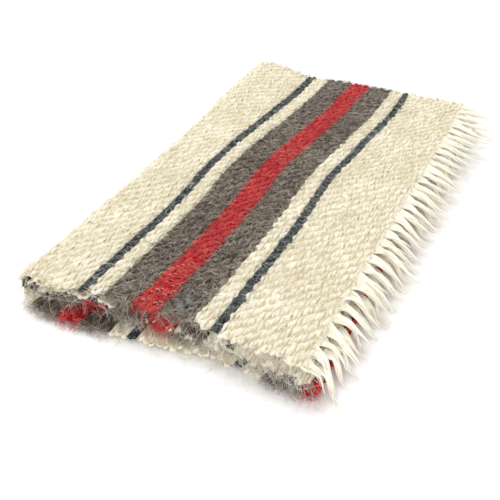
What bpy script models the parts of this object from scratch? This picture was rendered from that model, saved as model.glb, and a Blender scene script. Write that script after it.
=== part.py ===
"""A handwoven wool blanket folded into four layers, with a fringe of warp ends at each of its cut ends.

The cloth is one length. From its upper end it runs left over the top, round the wide outer fold,
right along the floor, round the fold under the fringe, left again, round the small fold nested in
the outer one, and right to its lower end. The stripes and both selvages run along Y.
"""

import math
import random

import bmesh
import bpy
from mathutils import Vector

MM = 0.001

# Cloth: its width between the selvages, its thickness and the air between two layers.
WIDTH = 500 * MM
THICK = 6.5 * MM
LAYER_GAP = 1.2 * MM
LAYER_PITCH = THICK + LAYER_GAP

# Heights of the middle of each layer, from the floor up.
FLOOR_LAYER, LOWER_LAYER, UPPER_LAYER, TOP_LAYER = (THICK / 2 + k * LAYER_PITCH for k in range(4))

# X runs from the wide fold, at the left, to the fringe. X = 0 is the woven end of the top layer.
# One row for each section across the stripes, in mm: how far along the stripes it stands, as a
# share of the width, how far left the wide fold reaches, how much it is raised there, how far
# right the fold under the fringe reaches, and where the lower woven end lies.
SECTIONS = (
    # share, fold_left, raised, fold_right, lower_end
    (0.00, -265.0, 0.5, 14.8, 5.0),
    (0.12, -266.0, 0.0, 13.0, 5.2),
    (0.25, -267.5, 0.2, 10.8, 4.4),
    (0.50, -273.5, 1.4, 6.2, 3.0),
    (0.70, -280.0, 4.0, 2.8, 1.6),
    (0.88, -285.5, 7.6, -0.8, 0.4),
    (1.00, -288.0, 9.0, -3.0, -1.0),
)

# The selvages, in mm: a row for each place along the section, counted in stretches from the upper
# end (0 to 1 the top layer, 1 to 2 the wide fold, 2 to 3 the floor layer, 3 to 4 the fold under
# the fringe, 4 to 5 the lower layer, 5 to 6 the nested fold, 6 to 7 the upper layer), with the
# Y of the near selvage and of the far one.
SELVAGES = (
    # stretch, near, far
    (0.00, -3.6, 500.0),
    (0.11, -1.4, 501.5),
    (0.20, -3.0, 500.5),
    (0.30, 0.0, 502.0),
    (0.42, 3.4, 500.0),
    (0.53, -0.6, 499.0),
    (0.63, -3.4, 497.0),
    (0.78, -6.0, 493.5),
    (0.88, -12.5, 497.5),
    (1.00, -12.0, 500.0),
    (1.40, -8.5, 501.0),
    (1.80, -12.0, 501.0),
    (2.00, -17.5, 500.0),
    (2.11, -22.5, 499.0),
    (2.35, -18.0, 500.5),
    (2.45, -14.5, 501.5),
    (2.64, -6.5, 500.0),
    (2.80, -4.5, 498.0),
    (2.94, -7.0, 499.0),
    (3.50, -4.0, 500.0),
    (4.50, 0.5, 498.0),
    (5.00, -8.5, 499.0),
    (6.00, -9.0, 497.0),
    (6.30, -3.5, 496.0),
    (6.50, 3.2, 497.0),
    (6.72, 1.5, 498.0),
    (7.00, -1.5, 497.0),
)

# Faces along each of the seven stretches of the section, and across the width.
STRETCH_FACES = (12, 10, 11, 8, 9, 8, 10)
WIDTH_FACES = 18

# The raised part of the wide fold fades out over this much of the top layer, and the upper layer
# inside it rises by this share as much.
RAISED_REACH = 85 * MM
UPPER_SHARE = 0.5

# The layers lie unevenly: gentle waves, full in the top layer and less in those under it.
WAVE_HEIGHT = 0.9 * MM
WAVE_LENGTH_X = 210 * MM
WAVE_LENGTH_Y = 270 * MM
WAVE_FADE = 60 * MM

# Fringe: four or five warp ends to a strand, on a narrow strip that stands just off the woven end.
STRANDS = 36
STRAND_SEGMENTS = 6
PART_GAP = 0.3 * MM
STRIP_DEPTH = 2.5 * MM
STRIP_HEIGHT = 4.0 * MM
STRAND_PITCH = WIDTH / STRANDS
ROOT_HALF_WIDTH = 2.9 * MM
TIP_HALF_WIDTH = 1.1 * MM
TIP_HALF_HEIGHT = 0.8 * MM
STRAND_TAPER = 2.2
SIDE_SWAY = 0.8 * MM

# How the upper strands fall, by share of width: how far right of the woven end a tip comes, in mm,
# how much the strand bows on the way (1 is straight), and the share of its height that it drops.
# Near the viewer they hang steeply to the floor, and at the far end they stand out almost level.
UPPER_STRANDS = (
    # share, reach, bow, drop
    (0.00, 21.0, 3.1, 0.96),
    (0.06, 27.0, 3.1, 0.96),
    (0.15, 32.0, 2.9, 0.96),
    (0.23, 36.0, 2.4, 0.96),
    (0.32, 41.0, 1.9, 0.96),
    (0.42, 43.0, 1.6, 0.96),
    (0.52, 45.0, 1.4, 0.92),
    (0.60, 46.0, 1.3, 0.80),
    (0.69, 47.0, 1.3, 0.60),
    (0.80, 39.0, 1.25, 0.42),
    (0.89, 53.0, 1.2, 0.28),
    (1.00, 31.0, 1.2, 0.23),
)

# Steps along an upper strand, as shares of its reach.
UPPER_STEPS = (0.0, 0.28, 0.52, 0.74, 0.89, 1.0)

# How a lower strand falls over the fold below it and out on the floor, in mm from its strip.
LOWER_FALL = ((0.0, 18.65), (5.0, 17.6), (8.8, 13.2), (11.2, 7.2), (15.0, 2.4), (22.0, 1.6))
LOWER_STRETCH = 0.35

# The strands of both rows lean towards the near side, by share of width: how far to that side for
# each mm out, from this far right of the woven end on. Only those near the corner lean much.
LEAN_START = 8.0 * MM
LEANS = (
    # share, lean
    (0.00, 1.05),
    (0.06, 0.95),
    (0.13, 0.40),
    (0.28, 0.24),
    (0.48, 0.06),
    (0.65, 0.00),
    (1.00, 0.00),
)


def blend(rows, key, column):
    """The value in a column of a table, smoothly between the rows on either side of the key."""
    key = min(max(key, rows[0][0]), rows[-1][0])
    index = max(k for k in range(len(rows) - 1) if rows[k][0] <= key)
    near = (max(index - 1, 0), index, index + 1, min(index + 2, len(rows) - 1))
    before, start, end, after = (rows[k] for k in near)
    share = (key - start[0]) / (end[0] - start[0])
    span = end[0] - start[0]
    slope_start = (end[column] - before[column]) / (end[0] - before[0]) * span
    slope_end = (after[column] - start[column]) / (after[0] - start[0]) * span
    cube, square = share**3, share**2
    return (
        (2 * cube - 3 * square + 1) * start[column]
        + (cube - 2 * square + share) * slope_start
        + (3 * square - 2 * cube) * end[column]
        + (cube - square) * slope_end
    )


def ease(share):
    share = min(max(share, 0.0), 1.0)
    return share * share * (3 - 2 * share)


def wave(x, share):
    """The unevenness of the layers: it dies out towards the fringe, so that the ends lie level."""
    across = math.sin(math.tau * x / WAVE_LENGTH_X + 0.6)
    return WAVE_HEIGHT * across * math.cos(math.tau * share * WIDTH / WAVE_LENGTH_Y) * ease(-x / WAVE_FADE)


def layer_height(layer, x, share, fold_x, raised):
    """The height of the middle of a layer, 0 on the floor to 3 on top."""
    lift = raised * (1 - ease((x - fold_x) / RAISED_REACH))
    lifted = (0, 0, UPPER_SHARE, 1)[layer]
    return FLOOR_LAYER + layer * LAYER_PITCH + lift * lifted + wave(x, share) * layer / 3


def fold_point(turn, x, from_height, to_height, side):
    """A point on the half circle that joins two layers, at the left (side -1) or the right (1)."""
    radius = abs(from_height - to_height) / 2
    middle = (from_height + to_height) / 2
    angle = math.pi * turn
    height = middle + (from_height - middle) * math.cos(angle)
    return x + side * radius * math.sin(angle), height


def section_point(stretch, share):
    """(x, z) of the middle of the cloth, at a place along the section of one share of the width."""
    left, raised, right, end = (blend(SECTIONS, share, column) * MM for column in (1, 2, 3, 4))
    fold_x = left + (TOP_LAYER + raised - FLOOR_LAYER) / 2 + THICK / 2
    turn_x = right - LAYER_PITCH / 2 - THICK / 2
    stretch_number = min(int(stretch), 6)
    turn = stretch - stretch_number

    def height(layer, x):
        return layer_height(layer, x, share, fold_x, raised)

    if stretch_number == 0:
        x = fold_x * turn
        return x, height(3, x)
    if stretch_number == 1:
        return fold_point(turn, fold_x, height(3, fold_x), height(0, fold_x), -1)
    if stretch_number == 2:
        x = fold_x + (turn_x - fold_x) * turn
        return x, height(0, x)
    if stretch_number == 3:
        return fold_point(turn, turn_x, height(0, turn_x), height(1, turn_x), 1)
    if stretch_number == 4:
        x = turn_x + (fold_x - turn_x) * turn
        return x, height(1, x)
    if stretch_number == 5:
        return fold_point(turn, fold_x, height(1, fold_x), height(2, fold_x), -1)
    x = fold_x + (end - fold_x) * turn
    return x, height(2, x)


def selvage(stretch, share):
    """Y of a point: its share of the way from the near selvage to the far one."""
    near = blend(SELVAGES, stretch, 1) * MM
    far = blend(SELVAGES, stretch, 2) * MM
    return near + (far - near) * share


def wool(name, colour, roughness):
    material = bpy.data.materials.new(name)
    material.use_nodes = True
    shader = material.node_tree.nodes["Principled BSDF"]
    shader.inputs["Base Color"].default_value = (*colour, 1.0)
    shader.inputs["Roughness"].default_value = roughness
    shader.inputs["Metallic"].default_value = 0.0
    return material


def piece(name, bm, material, collection):
    mesh = bpy.data.meshes.new(name)
    bm.to_mesh(mesh)
    bm.free()
    mesh.materials.append(material)
    mesh.shade_smooth()
    obj = bpy.data.objects.new(name, mesh)
    collection.objects.link(obj)
    return obj


def folded_blanket(material, collection):
    """The cloth: a flat grid laid into its folds, and given its thickness to both sides."""
    stations = [0.0]
    for number, faces in enumerate(STRETCH_FACES):
        stations += [number + (k + 1) / faces for k in range(faces)]
    bm = bmesh.new()
    bmesh.ops.create_grid(bm, x_segments=len(stations) - 1, y_segments=WIDTH_FACES, size=1.0)
    for vert in bm.verts:
        stretch = stations[round((vert.co.x + 1) / 2 * (len(stations) - 1))]
        share = (vert.co.y + 1) / 2
        x, z = section_point(stretch, share)
        vert.co = Vector((x, selvage(stretch, share), z))
    obj = piece("blanket", bm, material, collection)
    thickness = obj.modifiers.new("thickness", "SOLIDIFY")
    thickness.thickness = THICK
    thickness.offset = 0.0
    thickness.use_even_offset = True
    return obj


def leaning(share, x, z):
    """A point of a strand, moved towards the near side as its row leans there."""
    return Vector((x, -blend(LEANS, share, 1) * max(x - LEAN_START, 0.0), z))


def upper_strand(share, root_x):
    """The points of a strand from the top layer's end, falling over the end below it."""
    reach = blend(UPPER_STRANDS, share, 1) * MM
    bow, drop = (blend(UPPER_STRANDS, share, column) for column in (2, 3))
    return [
        leaning(share, root_x + (reach - root_x) * out, TOP_LAYER * (1 - drop * out**bow))
        for out in UPPER_STEPS
    ]


def lower_strand(share, root_x):
    """The points of a strand from the lower end, over the fold below it and out on the floor."""
    stretch = 1.0 + LOWER_STRETCH * ease(share / 0.4)
    return [leaning(share, root_x + out * MM * stretch, up * MM) for out, up in LOWER_FALL]


def along(points, share):
    """A point on the smooth line through points, and its direction there."""
    place = min(max(share, 0.0), 1.0) * (len(points) - 1)
    rows = [(k, *point) for k, point in enumerate(points)]

    def at(key):
        return Vector([blend(rows, key, column) for column in (1, 2, 3)])

    direction = at(min(place + 0.05, len(points) - 1)) - at(max(place - 0.05, 0))
    return at(place), direction.normalized()


def grow_strand(bm, root, points, sway):
    """Pulls one outer face of the strip out into a tapered strand of four sides along the points."""
    centre = root.calc_center_median()
    root_y = centre.y
    normal = Vector((0.0, 0.0, 1.0))
    face = root
    for step in range(1, STRAND_SEGMENTS + 1):
        share = step / STRAND_SEGMENTS
        face = bmesh.ops.extrude_discrete_faces(bm, faces=[face])["faces"][0]
        place, direction = along(points, share)
        half_width = ROOT_HALF_WIDTH + (TIP_HALF_WIDTH - ROOT_HALF_WIDTH) * share**STRAND_TAPER
        half_height = STRIP_HEIGHT / 2 + (TIP_HALF_HEIGHT - STRIP_HEIGHT / 2) * share
        new_normal = Vector((-direction.z, 0.0, direction.x)).normalized()
        place.y += root_y + sway * math.sin(math.pi * share)
        place.z = max(place.z, half_height * abs(new_normal.z))
        for vert in face.verts:
            side = 1.0 if vert.co.y > centre.y else -1.0
            level = 1.0 if (vert.co - centre).dot(normal) > 0 else -1.0
            vert.co = place + Vector((0.0, side * half_width, 0.0)) + new_normal * (level * half_height)
            vert.co.z = max(vert.co.z, 0.0)
        centre, normal = place, new_normal


def fringe(name, first_y, count, end_x, height, strand, seed, material, collection):
    """A row of strands with their roots fused in a narrow strip, which lies off the cloth's end."""
    rng = random.Random(seed)
    near, far = selvage(0.0, 0.0) + PART_GAP, selvage(0.0, 1.0) - PART_GAP
    bm = bmesh.new()
    bmesh.ops.create_cube(bm, size=1.0)
    bmesh.ops.scale(bm, vec=(STRIP_DEPTH, far - near, STRIP_HEIGHT), verts=bm.verts)
    bmesh.ops.translate(bm, vec=(0.0, (far + near) / 2, height), verts=bm.verts)
    centres = [first_y + k * STRAND_PITCH for k in range(count)]
    for y in [centre + side * ROOT_HALF_WIDTH for centre in centres for side in (-1, 1)]:
        parts = bm.verts[:] + bm.edges[:] + bm.faces[:]
        bmesh.ops.bisect_plane(bm, geom=parts, dist=1e-7, plane_co=(0.0, y, 0.0), plane_no=(0.0, 1.0, 0.0))
    for vert in bm.verts:
        share = (vert.co.y - near) / (far - near)
        vert.co.x += end_x(share) + PART_GAP + STRIP_DEPTH / 2
    bm.normal_update()
    outer = [face for face in bm.faces if face.normal.x > 0.9]
    roots = [min(outer, key=lambda face: abs(face.calc_center_median().y - y)) for y in centres]
    for y, root in zip(centres, roots):
        share = (y - near) / (far - near)
        points = strand(share, end_x(share) + PART_GAP + STRIP_DEPTH)
        grow_strand(bm, root, points, rng.uniform(-SIDE_SWAY, SIDE_SWAY))
    return piece(name, bm, material, collection)


def stand_on_origin(objects):
    """Moves the object so that the middle of its box, at the floor, is at the origin."""
    bpy.context.view_layer.update()
    graph = bpy.context.evaluated_depsgraph_get()
    corners = [Vector(corner) for obj in objects for corner in obj.evaluated_get(graph).bound_box]
    low = [min(corner[axis] for corner in corners) for axis in range(3)]
    high = [max(corner[axis] for corner in corners) for axis in range(3)]
    shift = Vector((-(low[0] + high[0]) / 2, -(low[1] + high[1]) / 2, 0.0))
    for obj in objects:
        for vert in obj.data.vertices:
            vert.co += shift


def build():
    for obj in list(bpy.data.objects):
        bpy.data.objects.remove(obj, do_unlink=True)
    collection = bpy.data.collections.new("folded_wool_blanket")
    bpy.context.scene.collection.children.link(collection)
    striped = wool("woven wool", (0.76, 0.67, 0.50), 0.95)
    undyed = wool("undyed wool yarn", (0.90, 0.85, 0.74), 0.95)
    first = selvage(0.0, 0.0) + STRAND_PITCH / 2
    cloth = folded_blanket(striped, collection)
    upper = fringe(
        "fringe_upper", first, STRANDS, lambda share: 0.0, TOP_LAYER, upper_strand, 5, undyed, collection
    )
    lower = fringe(
        "fringe_lower",
        first + STRAND_PITCH / 2,
        STRANDS - 1,
        lambda share: section_point(7.0, share)[0],
        UPPER_LAYER,
        lower_strand,
        9,
        undyed,
        collection,
    )
    stand_on_origin((cloth, upper, lower))


build()
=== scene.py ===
import math

import bmesh
import bpy
import numpy as np
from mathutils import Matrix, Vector


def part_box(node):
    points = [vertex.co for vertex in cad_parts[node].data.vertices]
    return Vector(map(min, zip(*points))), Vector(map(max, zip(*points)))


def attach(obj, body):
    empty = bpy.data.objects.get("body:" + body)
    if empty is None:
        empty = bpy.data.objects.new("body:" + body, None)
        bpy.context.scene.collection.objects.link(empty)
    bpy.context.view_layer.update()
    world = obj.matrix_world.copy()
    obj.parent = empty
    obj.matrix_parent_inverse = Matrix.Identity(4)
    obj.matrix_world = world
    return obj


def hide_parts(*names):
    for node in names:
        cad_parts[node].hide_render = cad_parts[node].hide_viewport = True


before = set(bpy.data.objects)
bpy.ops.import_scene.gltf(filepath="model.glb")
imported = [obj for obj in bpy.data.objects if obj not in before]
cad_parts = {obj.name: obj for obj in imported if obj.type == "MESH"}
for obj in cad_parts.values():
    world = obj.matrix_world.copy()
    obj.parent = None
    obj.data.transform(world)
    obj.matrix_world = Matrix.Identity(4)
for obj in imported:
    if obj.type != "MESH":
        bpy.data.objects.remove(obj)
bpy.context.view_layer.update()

# Cloth
# One length of handwoven wool, folded into four layers: from its upper woven end it runs left over
# the top, round the wide fold, right along the floor, round the fold under the fringe, left again,
# round the small nested fold, and right to its lower end. This thin sheet is the middle of it, and
# closes the gaps between the yarns, which lie on the same shape.
MM = 0.001
WIDTH = 500 * MM
THICK = 6.5 * MM
LAYER_PITCH = THICK + 1.2 * MM
LAYERS = [THICK / 2 + k * LAYER_PITCH for k in range(4)]
RAISED_REACH = 85 * MM
UPPER_SHARE = 0.5
WAVE_HEIGHT = 0.9 * MM
WAVE_LENGTH_X = 210 * MM
WAVE_LENGTH_Y = 270 * MM
WAVE_FADE = 60 * MM
SECTIONS = (
    # share of the width, wide fold's left, how much it is raised, right fold, lower end (mm)
    (0.00, -265.0, 0.5, 14.8, 5.0),
    (0.12, -266.0, 0.0, 13.0, 5.2),
    (0.25, -267.5, 0.2, 10.8, 4.4),
    (0.50, -273.5, 1.4, 6.2, 3.0),
    (0.70, -280.0, 4.0, 2.8, 1.6),
    (0.88, -285.5, 7.6, -0.8, 0.4),
    (1.00, -288.0, 9.0, -3.0, -1.0),
)
SELVAGES = (
    # stretch of the section, near selvage's Y, far selvage's Y (mm)
    (0.00, -3.6, 500.0),
    (0.11, -1.4, 501.5),
    (0.20, -3.0, 500.5),
    (0.30, 0.0, 502.0),
    (0.42, 3.4, 500.0),
    (0.53, -0.6, 499.0),
    (0.63, -3.4, 497.0),
    (0.78, -6.0, 493.5),
    (0.88, -12.5, 497.5),
    (1.00, -12.0, 500.0),
    (1.40, -8.5, 501.0),
    (1.80, -12.0, 501.0),
    (2.00, -17.5, 500.0),
    (2.11, -22.5, 499.0),
    (2.35, -18.0, 500.5),
    (2.45, -14.5, 501.5),
    (2.64, -6.5, 500.0),
    (2.80, -4.5, 498.0),
    (2.94, -7.0, 499.0),
    (3.50, -4.0, 500.0),
    (4.50, 0.5, 498.0),
    (5.00, -8.5, 499.0),
    (6.00, -9.0, 497.0),
    (6.30, -3.5, 496.0),
    (6.50, 3.2, 497.0),
    (6.72, 1.5, 498.0),
    (7.00, -1.5, 497.0),
)

# The top layer's woven end is X = 0 in the tables, and it stands a gap inside the fringe's strip.
PART_GAP = 0.3 * MM
END_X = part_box("fringe_upper")[0][0] - PART_GAP
NEAR_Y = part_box("fringe_upper")[1][1] + PART_GAP - SELVAGES[0][2] * MM


def smooth(table, keys, column):
    """A column's values at many keys, on a smooth line through the table's rows."""
    table = np.array(table, float)
    places, values = table[:, 0], table[:, column]
    after = np.minimum(np.arange(len(table)) + 1, len(table) - 1)
    before = np.maximum(np.arange(len(table)) - 1, 0)
    slopes = (values[after] - values[before]) / (places[after] - places[before])
    keys = np.clip(keys, places[0], places[-1])
    at = np.clip(np.searchsorted(places, keys, "right") - 1, 0, len(table) - 2)
    span = places[at + 1] - places[at]
    share = (keys - places[at]) / span
    cube, square = share**3, share**2
    return (
        (2 * cube - 3 * square + 1) * values[at]
        + (cube - 2 * square + share) * slopes[at] * span
        + (3 * square - 2 * cube) * values[at + 1]
        + (cube - square) * slopes[at + 1] * span
    )


def ease(share):
    share = np.clip(share, 0.0, 1.0)
    return share * share * (3 - 2 * share)


def unit(vectors):
    return vectors / np.maximum(np.linalg.norm(vectors, axis=-1, keepdims=True), 1e-12)


def section(shares, steps):
    """The cloth's middle at many shares of the width: X, Y and Z by place along the section."""
    left, raised, right, end = (smooth(SECTIONS, shares, column) * MM for column in (1, 2, 3, 4))
    fold = left + (LAYERS[3] + raised - LAYERS[0]) / 2 + THICK / 2
    turn = right - LAYER_PITCH / 2 - THICK / 2

    def height(layer, x):
        lift = raised * (1 - ease((x - fold) / RAISED_REACH)) * (0, 0, UPPER_SHARE, 1)[layer]
        along = np.sin(math.tau * x / WAVE_LENGTH_X + 0.6)
        across = np.cos(math.tau * shares * WIDTH / WAVE_LENGTH_Y)
        return LAYERS[layer] + lift + WAVE_HEIGHT * along * across * ease(-x / WAVE_FADE) * layer / 3

    def bend(part, x, start, finish, side):
        radius, angle = np.abs(start - finish) / 2, math.pi * part
        middle = (start + finish) / 2
        return x + side * radius * np.sin(angle), middle + (start - middle) * np.cos(angle)

    rows = []
    for place in np.linspace(0, 7, 7 * steps + 1):
        number = min(int(place), 6)
        part = place - number
        if number == 1:
            x, z = bend(part, fold, height(3, fold), height(0, fold), -1)
        elif number == 3:
            x, z = bend(part, turn, height(0, turn), height(1, turn), 1)
        elif number == 5:
            x, z = bend(part, fold, height(1, fold), height(2, fold), -1)
        else:
            layer = {0: 3, 2: 0, 4: 1, 6: 2}[number]
            start, finish = {0: (0 * fold, fold), 2: (fold, turn), 4: (turn, fold), 6: (fold, end)}[number]
            x = start + (finish - start) * part
            z = height(layer, x)
        near, far = (smooth(SELVAGES, place, column) * MM for column in (1, 2))
        rows.append((x + END_X, near + (far - near) * shares + NEAR_Y, z))
    return np.array(rows).transpose(0, 2, 1)


# A place along the cloth is its length at the near selvage. Further along the width, the same picks
# reach a little further round the larger fold, and then lie a little wider apart, up to the end.
STEPS = 48
SHARES = np.linspace(0, 1, 81)
SECTION = section(SHARES, STEPS)
RUN = np.cumsum(np.linalg.norm(np.diff(SECTION[:, :, [0, 2]], axis=0), axis=2), axis=0)
RUN = np.vstack([np.zeros(len(SHARES)), RUN])
CLOTH_LENGTH = RUN[-1, 0]
TURN_PLACE = int(3.5 * STEPS)
TURN_RUN = RUN[TURN_PLACE, 0]
ALONG = np.linspace(0, CLOTH_LENGTH, 1101)
LIE = np.empty((len(ALONG), len(SHARES), 3))
for column in range(len(SHARES)):
    real = RUN[:, column]
    knots = (0, real[2 * STEPS], TURN_RUN, CLOTH_LENGTH)
    reached = np.interp(ALONG, knots, (0, real[2 * STEPS], real[TURN_PLACE], real[-1]))
    for axis in range(3):
        LIE[:, column, axis] = np.interp(reached, real, SECTION[:, column, axis])

# The upper layer's near selvage has slipped out and sags over the layers under it, in two places.
SAG_WIDTH = 26 * MM
SAGS = (
    # mm along the cloth, mm that the near selvage reaches out, mm that it drops
    (900.0, 0.0, 0.0),
    (935.0, 4.0, 8.0),
    (972.0, 4.5, 9.0),
    (998.0, 1.0, 3.0),
    (1025.0, 2.5, 6.5),
    (1080.0, 3.0, 7.5),
)
sagging = np.maximum(1 - SHARES * WIDTH / SAG_WIDTH, 0) ** 2
for axis, column in ((1, 1), (2, 2)):
    LIE[:, :, axis] -= np.outer(smooth(SAGS, ALONG / MM, column) * MM, sagging)
OUTWARD = unit(np.cross(np.gradient(LIE, axis=1), np.gradient(LIE, axis=0)))


def lay(along, share):
    """Points of the cloth's middle and its outward directions, at places along it and across it."""
    row = np.clip(along / CLOTH_LENGTH, 0, 1) * (len(ALONG) - 1)
    column = np.clip(share, 0, 1) * (len(SHARES) - 1)
    i = np.minimum(row.astype(int), len(ALONG) - 2)
    j = np.minimum(column.astype(int), len(SHARES) - 2)
    a, b = (row - i)[..., None], (column - j)[..., None]

    def mixed(table):
        low = table[i, j] * (1 - a) + table[i + 1, j] * a
        high = table[i, j + 1] * (1 - a) + table[i + 1, j + 1] * a
        return low * (1 - b) + high * b

    points, outward = mixed(LIE), mixed(OUTWARD)
    points[..., 1] += (share - np.clip(share, 0, 1)) * WIDTH
    return points, unit(outward)


# Five like groups of stripes cross the cloth: thin dark, cream, brown-grey, red in the middle, and
# back. The picks are 2.7 mm apart. The right fold lies on the middle group.
PICKS = 400
PICK = CLOTH_LENGTH / PICKS
GROUP_MIDDLES = (51, 124, 202, 278, 351)
GROUP = ("dark",) * 3 + ("cream",) * 6 + ("grey",) * 11 + ("red",) * 9
GROUP += GROUP[19::-1]
PICK_COLOURS = ["cream"] * PICKS
for middle in GROUP_MIDDLES:
    first = middle - len(GROUP) // 2
    PICK_COLOURS[first : first + len(GROUP)] = GROUP

# The stripes wander as they cross the top layer, and are beaten closer beyond the wide fold at the
# near side, and wider apart at the far one, where the next dark stripe stays out of sight.
WANDER = (
    # share of the width, and mm towards the fringe: right dark stripe, red stripe, left dark stripe
    (0.00, 0.0, 0.6, 5.6),
    (0.17, 1.0, 2.3, 4.0),
    (0.32, 0.9, 0.6, 1.8),
    (0.44, -3.8, -3.0, -3.4),
    (0.52, -5.4, -4.6, -3.9),
    (0.61, -1.7, -1.6, -3.2),
    (0.71, 1.8, 2.0, -0.7),
    (0.81, 7.0, 5.6, 1.0),
    (0.91, 6.9, 6.0, 3.0),
    (1.00, 4.4, 6.2, 1.8),
)
WANDER_PLACES = np.array((0.0, 77.0, 139.0, 200.0, 262.0, 300.0, 400.0, 520.0)) * MM
BEATEN = (3.0 * MM, 7.0 * MM)
EASED = (16.0 * MM, 19.0 * MM, 12.0 * MM)


def wandered(along, share):
    """Where a pick that belongs at a place along the cloth really lies, at each share of the width."""
    right, middle, left = (smooth(WANDER, share, column) * MM for column in (1, 2, 3))
    far = share**2
    shifts = (0 * far, right, middle, left, left / 2 - EASED[0] * far)
    shifts += (BEATEN[0] - EASED[1] * far, BEATEN[1] - EASED[2] * far, 0 * far)
    shift = np.zeros(np.broadcast(along, share).shape)
    for k in range(len(WANDER_PLACES) - 1):
        part = (along - WANDER_PLACES[k]) / (WANDER_PLACES[k + 1] - WANDER_PLACES[k])
        inside = (part >= 0) & (part < 1)
        shift = np.where(inside, shifts[k] + (shifts[k + 1] - shifts[k]) * part, shift)
    return along - shift


def srgb(code):
    """A colour of two hex digits each for red, green and blue, as the linear values Blender wants."""
    parts = [int(code[k : k + 2], 16) / 255 for k in (0, 2, 4)]
    return (*[c / 12.92 if c <= 0.04045 else ((c + 0.055) / 1.055) ** 2.4 for c in parts], 1.0)


def add(tree, kind, settings=None, **links):
    """A node with its settings, and its inputs as values or as other nodes' outputs."""
    node = tree.nodes.new(kind)
    for key, value in (settings or {}).items():
        setattr(node, key, value)
    for key, value in links.items():
        socket = node.inputs[int(key[1:])] if key[1:].isdigit() else node.inputs[key]
        if isinstance(value, bpy.types.NodeSocket):
            tree.links.new(value, socket)
        else:
            socket.default_value = value
    return node


# The sheet takes the colour of the pick that lies on it, darkened a little as painted shade. It is the
# felted depth of the cloth, so it comes up between the yarns, and it thins out towards the selvages.
SHEET_THICK = 1.6 * MM
SHEET_THIN = 0.4
SHEET_ROWS = 36
SHEET_INSET = 2.0 * MM / WIDTH
SHADE = {"cream": "CDC2A2", "grey": "453D34", "red": "97171F", "dark": "262C30"}
bm = bmesh.new()
bmesh.ops.create_grid(bm, x_segments=PICKS, y_segments=SHEET_ROWS, size=1.0)
stripe = bm.loops.layers.float_color.new("stripe")
for face in bm.faces:
    pick = min(int((face.calc_center_median().x + 1) / 2 * PICKS), PICKS - 1)
    for loop in face.loops:
        loop[stripe] = srgb(SHADE[PICK_COLOURS[pick]])
depth = bm.verts.layers.deform.verify()
for vert in bm.verts:
    edge = abs(vert.co.y) > 1 - 1.5 / SHEET_ROWS or abs(vert.co.x) > 1 - 1.5 / PICKS
    vert[depth][0] = 0.0 if edge else 1.0
    share = np.array(SHEET_INSET + (1 - 2 * SHEET_INSET) * (vert.co.y + 1) / 2)
    along = wandered(np.array((vert.co.x + 1) / 2 * CLOTH_LENGTH), share)
    vert.co = Vector(lay(along, share)[0])
mesh = bpy.data.meshes.new("cloth_sheet")
bm.to_mesh(mesh)
bm.free()
mesh.shade_smooth()
sheet = bpy.data.objects.new("cloth_sheet", mesh)
bpy.context.scene.collection.objects.link(sheet)
solid = sheet.modifiers.new("thickness", "SOLIDIFY")
solid.thickness = SHEET_THICK
solid.offset = 0.0
solid.vertex_group = sheet.vertex_groups.new(name="full depth").name
solid.thickness_vertex_group = SHEET_THIN

# Wool deep between the yarns: the stripe's colour with a little painted shade, without any gloss, with a
# felted nap.
ground = bpy.data.materials.new("shaded wool between the yarns")
ground.use_nodes = True
tree = ground.node_tree
shader = tree.nodes["Principled BSDF"]
colour = add(tree, "ShaderNodeAttribute", {"attribute_name": "stripe"})
where = add(tree, "ShaderNodeTexCoord")
felt = add(tree, "ShaderNodeTexNoise", Vector=where.outputs["Object"], Scale=900.0, Detail=4.0)
bump = add(tree, "ShaderNodeBump", Height=felt.outputs[0], Strength=0.8, Distance=0.6 * MM)
tree.links.new(colour.outputs["Color"], shader.inputs["Base Color"])
tree.links.new(bump.outputs[0], shader.inputs["Normal"])
shader.inputs["Roughness"].default_value = 0.95
shader.inputs["Specular IOR Level"].default_value = 0.1
sheet.data.materials.append(ground)
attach(sheet, "root")
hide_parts("blanket")


# Weft
# Thick single handspun, woven as a twill: over three warp ends and under one, one end further on in
# each pick, round the last one at the selvage in a small loop, and back. It is thick and thin, and
# brushed. The hidden layers have the sheet, with their loops and first floats at the selvages.
REPEAT = 4
WAVES = 39
ENDS = WAVES * REPEAT
FULL_RUNS = ((0, 122), (196, 214), (393, PICKS))
EDGE_WAVES = 1.5
WAVE_POINTS = 6
FLOAT_POWER = 1.8
SELVAGE_INSET = 3.0 * MM / WIDTH
LOOP_PLUMP = 0.30
YARNS = {
    # half width, half height, and how far it rises over the warp ends (mm)
    "cream": (1.60, 1.55, 1.05),
    "grey": (1.65, 1.55, 0.95),
    "red": (1.55, 1.50, 1.00),
    "dark": (1.70, 1.60, 1.10),
}
rng = np.random.default_rng(17)


def slubs(count, length, spread, middle=1.0):
    """Thick and thin along a yarn: noise that changes over so many points."""
    knots = rng.normal(middle, spread, count // length + 3)
    return np.interp(np.arange(count) / length, np.arange(len(knots)), knots)


def floated(quarter_turns):
    """How high the weft stands, from 1 to -1, so many ends on from the middle of a float."""
    return 1 - 2 * ((1 - np.cos(math.tau * quarter_turns / REPEAT)) / 2) ** FLOAT_POWER


def pick_row(pick, first_wave, last_wave):
    """A pick between two places, in waves: its place along the cloth, share of the width, and rise."""
    count = int(abs(last_wave - first_wave) * WAVE_POINTS)
    forward = last_wave > first_wave
    offset = 0.75 if (pick % 2 == 0) == forward else 0.25
    waves = first_wave + (np.arange(count) + offset) / WAVE_POINTS * (1 if forward else -1)
    share = SELVAGE_INSET + (1 - 2 * SELVAGE_INSET) * waves / WAVES
    return np.stack([(pick + 0.5) * PICK + 0 * waves, share, floated(waves * REPEAT - 0.5 + pick)], 1)


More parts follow.
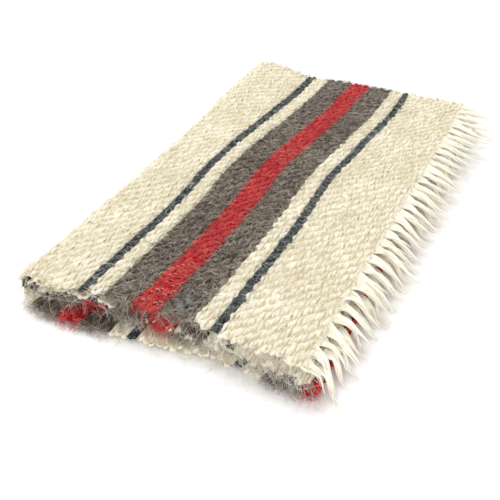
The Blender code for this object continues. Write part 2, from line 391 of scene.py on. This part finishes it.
def selvage_loop(row, next_row):
    """The turn round the outermost warp end, from the end of one pick to the start of the next."""
    side = 1 if row[-1, 1] > 0.5 else -1
    reach = (1.8 + abs(rng.normal(0, 1.1))) * MM / WIDTH
    turn = np.array([math.pi * part for part in (0.2, 0.5, 0.8)])
    middle = (row[-1, 0] + next_row[0, 0]) / 2
    along = middle - (next_row[0, 0] - row[-1, 0]) / 2 * np.cos(turn) * 1.1
    share = (row[-1, 1] + next_row[0, 1]) / 2 + side * reach * np.sin(turn)
    rise = row[-1, 2] + (next_row[0, 2] - row[-1, 2]) * (1 - np.cos(turn)) / 2
    return np.stack([along, share, rise], 1)


def weft_yarn(colour, rows):
    """A yarn of a colour through several picks, joined by its loops at the selvages."""
    parts = [rows[0]]
    for row in rows[1:]:
        parts += [selvage_loop(parts[-1], row), row]
    along, share, over = np.vstack(parts).T
    count = len(along)
    half_width, half_height, rise = (size * MM for size in YARNS[colour])
    along = wandered(along, share) + slubs(count, 4, 0.6, 0.0) * MM
    points, outward = lay(along, share + slubs(count, 4, 1.3, 0.0) * MM / WIDTH)
    lifted = rise * over * slubs(count, 3, 0.42) + slubs(count, 8, 0.28, 0.0) * MM
    thick = slubs(count, 9, 0.09) * slubs(count, 2, 0.16)
    beyond = np.clip(2 - np.minimum(share, 1 - share) / SELVAGE_INSET, 0, 1)
    plump = (0.96 + 0.26 * over) * (1 + LOOP_PLUMP * beyond)
    return points + outward * lifted[:, None], outward, half_width * thick * plump, half_height * thick


def tubes(name, yarns, sides, material):
    """One mesh of round yarns, each a grid rolled up along its points, and tapered where it thins.

    A yarn is its points, its outward directions, its half widths and its half heights.
    """
    points, up, wide, high = (np.concatenate([yarn[k] for yarn in yarns]) for k in range(4))
    counts = np.array([len(yarn[0]) for yarn in yarns])
    ends = np.cumsum(counts)
    starts = ends - counts
    yarn_of = np.repeat(np.arange(len(yarns)), counts)
    rows = np.arange(ends[-1])
    before = np.maximum(rows - 1, starts[yarn_of])
    after = np.minimum(rows + 1, ends[yarn_of] - 1)
    forward = unit(points[after] - points[before])
    aside = unit(np.cross(forward, up))
    up = np.cross(aside, forward)
    length = np.cumsum(np.linalg.norm(points - points[before], axis=1))
    length -= length[starts][yarn_of]
    bm = bmesh.new()
    bm.loops.layers.uv.new("UVMap")
    bmesh.ops.create_grid(bm, x_segments=sides, y_segments=len(rows) - 1, size=1.0)
    mesh = bpy.data.meshes.new(name)
    bm.to_mesh(mesh)
    flat = np.empty(len(mesh.vertices) * 3)
    mesh.vertices.foreach_get("co", flat)
    flat = flat.reshape(-1, 3)
    angle = (flat[:, 0] + 1) * math.pi
    row = np.rint((flat[:, 1] + 1) / 2 * (len(rows) - 1)).astype(int)
    rolled = points[row] + aside[row] * (np.cos(angle) * wide[row])[:, None]
    rolled += up[row] * (np.sin(angle) * high[row])[:, None]
    rolled[:, 2] = np.maximum(rolled[:, 2], 0.0)
    mesh.vertices.foreach_set("co", rolled.ravel())
    corners = np.empty(len(mesh.loops), int)
    mesh.loops.foreach_get("vertex_index", corners)
    along_yarn = np.stack([angle[corners] * wide.mean(), length[row[corners]]], 1)
    mesh.uv_layers[0].data.foreach_set("uv", along_yarn.ravel())
    lowest = row[corners].reshape(-1, 4).min(axis=1)
    bm.clear()
    bm.from_mesh(mesh)
    bm.faces.ensure_lookup_table()
    between = [bm.faces[k] for k in np.flatnonzero(np.isin(lowest, ends[:-1] - 1))]
    bmesh.ops.delete(bm, geom=between, context="FACES_ONLY")
    bmesh.ops.remove_doubles(bm, verts=bm.verts, dist=1e-7)
    bmesh.ops.holes_fill(bm, edges=[edge for edge in bm.edges if edge.is_boundary], sides=sides)
    bmesh.ops.recalc_face_normals(bm, faces=bm.faces)
    bm.to_mesh(mesh)
    bm.free()
    mesh.shade_smooth()
    mesh.materials.append(material)
    piece = bpy.data.objects.new(name, mesh)
    bpy.context.scene.collection.objects.link(piece)
    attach(piece, "root")
    return piece


def spun_wool(name, deep, middle, light, bloom, sheen=0.3):
    """Single-spun wool: matt, with fibres wound at a slant along the yarn, and a soft pale bloom.

    The fibres are drawn about a millimetre apart, far coarser than they are, so that they show.
    Blotches four millimetres across are slubs and beads, and the broad ones are changes of fleece.
    """
    material = bpy.data.materials.new(name)
    material.use_nodes = True
    tree = material.node_tree
    shader = tree.nodes["Principled BSDF"]
    where = add(tree, "ShaderNodeTexCoord")
    slant = add(
        tree, "ShaderNodeMapping", Vector=where.outputs["UV"], Rotation=(0, 0, 0.75), Scale=(950, 260, 1)
    )
    twist = add(tree, "ShaderNodeTexNoise", Vector=slant.outputs[0], Scale=1.0, Detail=3.0, Roughness=0.6)
    spots = add(tree, "ShaderNodeTexNoise", Vector=where.outputs["Object"], Scale=230.0, Detail=3.0)
    fleece = add(tree, "ShaderNodeTexNoise", Vector=where.outputs["Object"], Scale=28.0, Detail=2.0)
    tone = add(tree, "ShaderNodeMath", {"operation": "MULTIPLY_ADD"}, _0=twist.outputs[0], _1=0.45, _2=0.0)
    for noise, weight in ((spots, 0.35), (fleece, 0.3)):
        tone = add(
            tree, "ShaderNodeMath", {"operation": "MULTIPLY_ADD"}, _0=noise.outputs[0], _1=weight,
            _2=tone.outputs[0],
        )
    ramp = add(tree, "ShaderNodeValToRGB", Fac=tone.outputs[0])
    for element, place, code in zip(ramp.color_ramp.elements, (0.42, 0.68), (deep, light)):
        element.position = place
        element.color = srgb(code)
    ramp.color_ramp.elements.new(0.54).color = srgb(middle)
    bump = add(tree, "ShaderNodeBump", Height=twist.outputs[0], Strength=0.8, Distance=0.9 * MM)
    tree.links.new(ramp.outputs[0], shader.inputs["Base Color"])
    tree.links.new(bump.outputs[0], shader.inputs["Normal"])
    shader.inputs["Roughness"].default_value = 0.94
    shader.inputs["Specular IOR Level"].default_value = 0.12
    shader.inputs["Sheen Weight"].default_value = sheen
    shader.inputs["Sheen Roughness"].default_value = 0.6
    shader.inputs["Sheen Tint"].default_value = srgb(bloom)
    return material


def colour_runs(first, last):
    """Stretches of picks of one colour."""
    start = first
    for pick in range(first + 1, last + 1):
        if pick == last or PICK_COLOURS[pick] != PICK_COLOURS[start]:
            yield PICK_COLOURS[start], start, pick
            start = pick


weft = {colour: [] for colour in YARNS}
weft_inside = {colour: [] for colour in YARNS}
for stretch in FULL_RUNS:
    for colour, start, stop in colour_runs(*stretch):
        ways = [(0, WAVES) if (pick - start) % 2 == 0 else (WAVES, 0) for pick in range(start, stop)]
        rows = [pick_row(pick, *way) for pick, way in zip(range(start, stop), ways)]
        weft[colour].append(weft_yarn(colour, rows))
for before, after in zip(FULL_RUNS, FULL_RUNS[1:]):
    for colour, start, stop in colour_runs(before[1], after[0]):
        for pick in range(start, stop - 1, 2):
            for selvage, inner in ((0, EDGE_WAVES), (WAVES, WAVES - EDGE_WAVES)):
                rows = [pick_row(pick, inner, selvage), pick_row(pick + 1, selvage, inner)]
                weft_inside[colour].append(weft_yarn(colour, rows))

WOOL = {
    "cream": spun_wool("undyed single-spun wool", "D6CBAC", "F0E8D1", "FBF6E8", "FFFAF0"),
    "grey": spun_wool("natural brown-grey single-spun wool", "423930", "6E6357", "9E9487", "BDB4A7"),
    "red": spun_wool("red-dyed single-spun wool", "A01A22", "C52F35", "D85C57", "E7A19B"),
    "dark": spun_wool("blue-black dyed single-spun wool", "1F2427", "3B4143", "676C6B", "8F9492"),
}
for group, yarns_of in (("weft", weft), ("weft_inside", weft_inside)):
    for colour, yarns in yarns_of.items():
        piece = tubes(f"{group}_{colour}", yarns, 4, WOOL[colour])


# Warp
# Pale, thinner and tighter two-ply, a little over three millimetres apart. The weft covers it, except
# in the red, where it shows as short pale dashes in slanting rows: most near the near selvage, and
# a few further in. Seven in ten of the ends there come up, and one that never shows isn't made.
WARP_RADIUS = 0.55 * MM
LEAST_SHOW = 1.2
SHOWING_SHARE = 0.7
SHOWS = (
    # share of the width, mm that the warp rises over a red pick
    (0.00, 0.9),
    (0.02, 1.9),
    (0.08, 1.9),
    (0.12, 1.4),
    (0.17, 0.9),
    (0.46, 0.9),
    (0.52, 1.4),
    (0.57, 1.4),
    (0.62, 0.9),
    (1.00, 0.9),
)


def warp_yarn(end, first, last):
    steps = np.arange(2 * first, 2 * last + 1) / 2
    share = SELVAGE_INSET + (1 - 2 * SELVAGE_INSET) * (end + 0.5) / ENDS + 0 * steps
    points, outward = lay(wandered(steps * PICK, share), share)
    most = smooth(SHOWS, share, 1) * slubs(len(steps), 4, 0.4)
    rise = np.minimum(-floated(steps - 0.5 + end) * 1.5, 1.0) * most
    rise[[0, -1]] = -1.0
    thick = WARP_RADIUS * slubs(len(steps), 3, 0.1)
    return points + outward * rise[:, None] * MM, outward, thick, thick


warps = []
for stretch in FULL_RUNS:
    for colour, start, stop in colour_runs(*stretch):
        for end in range(ENDS):
            shows = smooth(SHOWS, (end + 0.5) / ENDS, 1) > LEAST_SHOW
            if colour == "red" and shows and rng.uniform() < SHOWING_SHARE:
                warps.append(warp_yarn(end, start, stop))
warp_wool = spun_wool("undyed two-ply warp wool", "C08A7A", "DDA795", "EBC5B4", "FFF9EA", sheen=0.2)
warp = tubes("warp", warps, 4, warp_wool)


# Fringe
# The warp's own ends, left about fifty millimetres long, four or five together in soft full locks that
# come to a point, and drawn as six strands round a core. The upper row falls over the lower one
# towards the floor, and the lower row lies on it.
LOCKS = 36
LOCK_STEPS = 14
PLIES = 6
UPPER_LOCKS = (
    # share of the width, mm from the woven end to the tip, bow (1 is straight), share of the drop
    (0.00, 17.0, 2.2, 0.90),
    (0.05, 21.0, 1.9, 0.84),
    (0.09, 30.0, 1.7, 0.62),
    (0.16, 33.0, 1.8, 0.60),
    (0.24, 34.0, 2.1, 0.68),
    (0.32, 38.0, 1.9, 0.70),
    (0.42, 40.0, 1.6, 0.72),
    (0.52, 42.0, 1.4, 0.70),
    (0.60, 43.0, 1.3, 0.64),
    (0.69, 44.0, 1.3, 0.54),
    (0.80, 42.0, 1.25, 0.42),
    (0.89, 50.0, 1.2, 0.28),
    (1.00, 31.0, 1.2, 0.23),
)
LOWER_FALL = (
    # part of the lock, mm out from the woven end, mm high
    (0.0, 0.0, 18.65),
    (0.2, 6.0, 17.8),
    (0.4, 11.0, 13.2),
    (0.6, 13.8, 7.2),
    (0.8, 17.8, 2.4),
    (1.0, 25.0, 1.6),
)

# Both rows lean towards the near side from a little way out, and most of all at the near corner.
LEAN_START = 8.0 * MM
LEANS = (
    # share of the width, mm to the near side for each mm out
    (0.00, 0.80),
    (0.06, 0.60),
    (0.13, 0.32),
    (0.28, 0.24),
    (0.48, 0.06),
    (0.65, 0.00),
    (1.00, 0.00),
)
ROOT_DEPTH = 3.0 * MM


def lock(points, half_width):
    """Warp ends that leave the cloth side by side, draw together in a soft lock, and part at its tip."""
    part = np.linspace(0, 1, len(points))
    gathered = ease(part / rng.uniform(0.35, 0.65))
    forward = unit(np.gradient(points, axis=0))
    aside = np.tile((0.0, 1.0, 0.0), (len(points), 1))
    above = unit(np.cross(aside, -forward))
    full = half_width * (0.66 + 0.40 * np.sin(math.pi * part**0.75))
    body = full * (0.72 - 0.60 * part**2) * (0.3 + 0.7 * gathered)
    plies = [(points, above, body, body * 0.8)]
    turns, start = rng.uniform(0.25, 0.7) * rng.choice((-1, 1)), rng.uniform(0, math.tau)
    for ply in range(PLIES):
        angle = start + ply * math.tau / PLIES + turns * math.tau * part
        spread = full * (0.72 - 0.25 * part**2) * gathered
        round_core = np.cos(angle)[:, None] * aside + 0.7 * np.sin(angle)[:, None] * above
        own = points + spread[:, None] * round_core
        own[:, 1] += (ply + 0.5 - PLIES / 2) * WIDTH / LOCKS / PLIES * (1 - gathered)
        own[:, 1] += np.sin(part * rng.uniform(5, 11) + angle[0]) * part * rng.uniform(0.2, 1.1) * MM
        own += np.outer(part**2, (rng.normal(0, 2.0), rng.normal(0, 2.2), rng.normal(0, 0.9))) * MM
        radius = full * (0.38 - 0.27 * part**1.5) * rng.uniform(0.7, 1.2)
        own[:, 2] = np.maximum(own[:, 2], radius * 0.8)
        taken = np.linspace(0, rng.uniform(0.62, 1.0), len(points)) * (len(points) - 1)
        own = np.stack([np.interp(taken, np.arange(len(points)), own[:, axis]) for axis in range(3)], 1)
        plies.append((own, above, radius, radius * 0.85))
    return plies


def lock_path(share, root, x, z, drift):
    """A lock's middle: it leans as its row does, swings a little, and drifts towards a neighbour."""
    lean = smooth(LEANS, share, 1) * np.maximum(x - END_X - LEAN_START, 0.0)
    swing = rng.normal(0, 1.4) * np.sin(part * rng.uniform(4.0, 7.0)) + drift * part**1.5
    return np.stack([x, root[1] - lean + swing * MM, z], 1)


def drifts(count):
    """How far the tips drift aside, in mm: a little each, and some neighbours lean together."""
    aside = rng.normal(0, 1.5, count)
    meets = rng.uniform(0, 1, count - 1) < 0.28
    aside[:-1] += 3.6 * meets
    aside[1:] -= 3.6 * meets
    return aside


part = np.linspace(0, 1, LOCK_STEPS)
upper_locks, lower_locks = [], []
for number, drift in enumerate(drifts(LOCKS)):
    share = (number + 0.5) / LOCKS
    root = lay(np.array(0.0), np.array(share))[0]
    reach, bow, drop = (smooth(UPPER_LOCKS, share, column) for column in (1, 2, 3))
    reach = (reach + rng.normal(0, 2.2)) * MM
    drop = min(drop * (1 + rng.normal(0, 0.07) * (drop < 0.9)), 0.96)
    out = part ** 1.1
    x = root[0] - ROOT_DEPTH + out * (reach + ROOT_DEPTH)
    z = root[2] * (1 - drop * out**bow)
    upper_locks += lock(lock_path(share, root, x, z, drift), rng.uniform(3.6, 4.5) * MM)
for number, drift in enumerate(drifts(LOCKS - 1)):
    share = (number + 1.0) / LOCKS
    root = lay(CLOTH_LENGTH, np.array(share))[0]
    stretch = 1.0 + 0.35 * ease(share / 0.4) + rng.normal(0, 0.05)
    x = root[0] - ROOT_DEPTH + smooth(LOWER_FALL, part, 1) * stretch * MM + ROOT_DEPTH * ease(part / 0.15)
    lower_locks += lock(
        lock_path(share, root, x, smooth(LOWER_FALL, part, 2) * MM, drift), rng.uniform(2.5, 3.2) * MM
    )
fringe_wool = spun_wool("undyed warp ends, loose", "F9EFD3", "FFFBEA", "FFFEF6", "FFFBEE", sheen=0.5)
for name, locks in (("fringe_upper", upper_locks), ("fringe_lower", lower_locks)):
    piece = tubes(f"{name}_locks", locks, 5, fringe_wool)
    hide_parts(name)


# Nap
# Loose fibres that stand off the yarns and felt them together. The brown-grey is the hairiest, with
# pale fibres in it, and long ones trail from the near edge. They are drawn about a third of a
# millimetre thick, several times as thick as real fibres, so that they show.
FACE = 2.2 * MM
NAP_PICKS = 114
FIBRE_FLOOR = 0.3 * MM
FIBRE_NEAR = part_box("blanket")[0][1]
FIBRE_TRAIL = 20.0 * MM


def fibres(points, away, lean, length, lift, bow, radius, count_steps=4):
    """Tapered fibres, each from its root: it leans over, curls, and comes back to the cloth.

    They lie no lower than the floor, and trail no further out than the longest that shows.
    """
    part = np.linspace(0, 1, count_steps)[None, :, None]
    aside = unit(np.cross(away, lean))[:, None]
    size, count = length[:, None, None], len(points)
    phase = rng.uniform(0, math.tau, (count, 1, 1))
    turns = rng.uniform(2.0, 5.0, (count, 1, 1))
    curl = rng.normal(0, bow, (count, 1, 1)) * size * (np.sin(turns * part + phase) - np.sin(phase))
    line = points[:, None] + lean[:, None] * part * size + aside * curl
    line = line + away[:, None] * lift[:, None, None] * np.sin(part * 2.5)
    line[..., 2] = np.maximum(line[..., 2], FIBRE_FLOOR)
    beyond = np.maximum(FIBRE_NEAR - line[..., 1], 0.0)
    line[..., 1] += beyond - FIBRE_TRAIL * (1 - np.exp(-beyond / FIBRE_TRAIL))
    thick = radius[:, None] * (1 - 0.6 * part[:, :, 0])
    up = np.broadcast_to(away[:, None], line.shape)
    return [(line[k], up[k], thick[k], thick[k]) for k in range(count)]


def face_fibres(colour, count, shortest, longest, lift, bow=0.2):
    """Fibres all over the picks of one colour, on the top layer and round the wide fold."""
    picks = np.array([k for k in range(NAP_PICKS) if PICK_COLOURS[k] == colour])
    along = (rng.choice(picks, count) + rng.uniform(-0.1, 1.1, count)) * PICK
    share = rng.uniform(0.002, 0.998, count)
    points, away = lay(wandered(along, share), share)
    turned = rng.uniform(0, math.tau, count)[:, None]
    across = np.tile((0.0, 1.0, 0.0), (count, 1))
    lean = across * np.cos(turned) + np.cross(away, across) * np.sin(turned)
    length = rng.uniform(shortest, longest, count) * MM
    points = points + away * (FACE + rng.normal(0, 0.35, count)[:, None] * MM)
    return fibres(
        points, away, lean, length, rng.uniform(0.2, 1.0, count) * lift * MM, bow,
        rng.uniform(0.13, 0.24, count) * MM,
    )


def edge_fibres(colour, count, shortest, longest):
    """Fibres that stand out from the near and far selvages of every layer, on the picks of a colour."""
    picks = np.array([k for k in range(PICKS) if PICK_COLOURS[k] == colour])
    along = (rng.choice(picks, count) + rng.uniform(0, 1, count)) * PICK
    near = rng.uniform(0, 1, count) < 0.7
    share = np.where(near, rng.uniform(-0.006, 0.008, count), rng.uniform(0.994, 1.004, count))
    points, away = lay(wandered(along, share), share)
    points = points + away * rng.uniform(-1.8, 2.2, count)[:, None] * MM
    lean = rng.normal(0, 0.75, (count, 3))
    lean[:, 1] += np.where(near, -0.7, 0.7)
    lean[:, 2] -= 0.3
    length = rng.uniform(shortest, longest, count) * MM
    upright = np.tile((0.0, 0.0, 1.0), (count, 1))
    radius = rng.uniform(0.09, 0.17, count) * MM
    return fibres(points, upright, unit(lean), length, 0.1 * length, 0.3, radius, 5)


def end_fibres(count, place, shortest, longest):
    """Cream fibres that stand out between the roots of a fringe, from a woven end at a place."""
    share = rng.uniform(0, 1, count)
    points, away = lay(place + 0 * share, share)
    points = points + away * rng.uniform(-2.2, 2.4, count)[:, None] * MM
    lean = unit(rng.normal((1.0, 0.0, -0.15), (0.4, 0.6, 0.3), (count, 3)))
    length = rng.uniform(shortest, longest, count) * MM
    return fibres(points, away, lean, length, 0.15 * length, 0.3, rng.uniform(0.12, 0.2, count) * MM)


def fibre_wool(name, code, other):
    """Loose wool fibre: thin, matt and a little translucent, so it is drawn pale and soft."""
    material = bpy.data.materials.new(name)
    material.use_nodes = True
    tree = material.node_tree
    shader = tree.nodes["Principled BSDF"]
    where = add(tree, "ShaderNodeTexCoord")
    tint = add(tree, "ShaderNodeTexNoise", Vector=where.outputs["Object"], Scale=140.0, Detail=1.0)
    ramp = add(tree, "ShaderNodeValToRGB", Fac=tint.outputs[0])
    for element, place, shade in zip(ramp.color_ramp.elements, (0.35, 0.65), (code, other)):
        element.position = place
        element.color = srgb(shade)
    tree.links.new(ramp.outputs[0], shader.inputs["Base Color"])
    shader.inputs["Roughness"].default_value = 0.85
    shader.inputs["Specular IOR Level"].default_value = 0.15
    shader.inputs["Sheen Weight"].default_value = 0.15
    return material


def tuft(count, along, share, spread_along, spread_share, longest):
    """A small patch of stray fibres round one place on the top layer."""
    place = (along + rng.normal(0, spread_along, count)) * MM
    width = np.clip(share + rng.normal(0, spread_share, count), 0.001, 1)
    points, away = lay(place, width)
    lean = unit(rng.normal(0, 1, (count, 3)) * (1, 1, 0.15))
    length = rng.uniform(3, longest, count) * MM
    radius = rng.uniform(0.14, 0.22, count) * MM
    return fibres(points + away * FACE, away, lean, length, 0.15 * length, 0.15, radius)


# Long fibres trail down from the near edge of every layer and lie on the floor before it. Most hang
# from the top two layers between the right dark stripe and the corner.
count = 340
top_two = rng.choice((0.0, 990.0), count) * MM + rng.uniform(0.0, 88.0, count) * MM
along = np.where(rng.uniform(0, 1, count) < 0.5, top_two, rng.uniform(0.0, 1.0, count) * CLOTH_LENGTH)
points, _ = lay(along, rng.uniform(-0.004, 0.012, count))
leans = [rng.normal(middle, spread, count) for middle, spread in ((0.5, 0.4), (-0.45, 0.25), (-0.6, 0.25))]
lean = unit(np.stack(leans, 1))
length = (6 + rng.gamma(2.2, 6.5, count)) * MM
upright = np.tile((0.0, 0.0, 1.0), (count, 1))
long_fibres = fibres(
    points, upright, lean, length, 0.12 * length, 0.3, rng.uniform(0.10, 0.20, count) * MM, 9
)

# A small tuft of stray blue-black fibres lies by the red stripe, close to the near selvage.
for name, yarns, material in (
    (
        "nap_grey_pale", face_fibres("grey", 4600, 4, 10, 1.6) + edge_fibres("grey", 1900, 3, 12),
        fibre_wool("pale fibres in brown-grey wool", "978D80", "CFC6B8"),
    ),
    (
        "nap_grey_deep", face_fibres("grey", 2800, 4, 9, 1.2) + edge_fibres("grey", 350, 3, 9),
        fibre_wool("brown-grey fibres", "332A23", "5E5347"),
    ),
    (
        "nap_dark", face_fibres("dark", 2000, 4, 8, 1.3) + tuft(90, 113, 0.03, 4.0, 0.012, 8),
        fibre_wool("blue-black fibres", "454B4D", "B0B3AD"),
    ),
    (
        "nap_red", face_fibres("red", 1800, 4, 8, 1.0) + edge_fibres("red", 800, 3, 11),
        fibre_wool("red fibres", "AF1F27", "DC6C66"),
    ),
    (
        "nap_cream", face_fibres("cream", 6900, 3, 7, 1.1, 0.5) + edge_fibres("cream", 1400, 2, 8),
        fibre_wool("cream fibres", "E8DEC2", "FDF9EC"),
    ),
    (
        "nap_ends", end_fibres(1100, 2 * MM, 3, 10) + end_fibres(500, CLOTH_LENGTH - 2 * MM, 3, 9),
        fibre_wool("warm cream fibres", "F0E4C6", "FFFBEE"),
    ),
    ("nap_long", long_fibres, fibre_wool("long pale fibres", "C4BBAE", "FBF7F0")),
):
    piece = tubes(name, yarns, 3, material)


# Studio
# A plain white floor and even light from all round, with one wide soft lamp behind the wide fold, so
# that a soft shadow falls before the fringe, and a weak low one before the near selvages. The camera
# stands where the photograph was taken from.
bm = bmesh.new()
bmesh.ops.create_grid(bm, x_segments=1, y_segments=1, size=6.0)
floor_mesh = bpy.data.meshes.new("floor")
bm.to_mesh(floor_mesh)
bm.free()
floor = bpy.data.objects.new("floor", floor_mesh)
bpy.context.scene.collection.objects.link(floor)
paper = bpy.data.materials.new("white paper floor")
paper.use_nodes = True
paper.node_tree.nodes["Principled BSDF"].inputs["Base Color"].default_value = srgb("FAF9F8")
paper.node_tree.nodes["Principled BSDF"].inputs["Roughness"].default_value = 0.9
floor.data.materials.append(paper)

world = bpy.data.worlds.new("studio")
world.use_nodes = True
world.node_tree.nodes["Background"].inputs["Color"].default_value = (1.0, 1.0, 1.0, 1.0)
world.node_tree.nodes["Background"].inputs["Strength"].default_value = 0.84
bpy.context.scene.world = world
bpy.context.scene.view_settings.view_transform = "Standard"

lamp_data = bpy.data.lights.new("wide soft lamp", "AREA")
lamp_data.shape = "DISK"
lamp_data.size = 1.2
lamp_data.energy = 25.5
lamp = bpy.data.objects.new("wide soft lamp", lamp_data)
lamp.location = (-1.0, 0.75, 1.7)
lamp.rotation_euler = (-lamp.location).to_track_quat("-Z", "Y").to_euler()
bpy.context.scene.collection.objects.link(lamp)

fill_data = bpy.data.lights.new("weak low lamp", "AREA")
fill_data.shape = "DISK"
fill_data.size = 1.0
fill_data.energy = 6.0
fill = bpy.data.objects.new("weak low lamp", fill_data)
fill.location = (0.4, -1.3, 0.4)
fill.rotation_euler = (-fill.location).to_track_quat("-Z", "Y").to_euler()
bpy.context.scene.collection.objects.link(fill)

FOCAL_PIXELS = 673.9
FRAME_PIXELS = 500
camera_data = bpy.data.cameras.new("camera")
camera_data.sensor_width = 36.0
camera_data.lens = FOCAL_PIXELS / FRAME_PIXELS * camera_data.sensor_width
camera = bpy.data.objects.new("camera", camera_data)
camera.location = (END_X + 117.7 * MM, NEAR_Y - 321.0 * MM, LAYERS[3] + THICK / 2 + 351.9 * MM)
camera.rotation_euler = (math.radians(53.5), 0.0, math.radians(26.9))
bpy.context.scene.collection.objects.link(camera)
bpy.context.scene.camera = camera
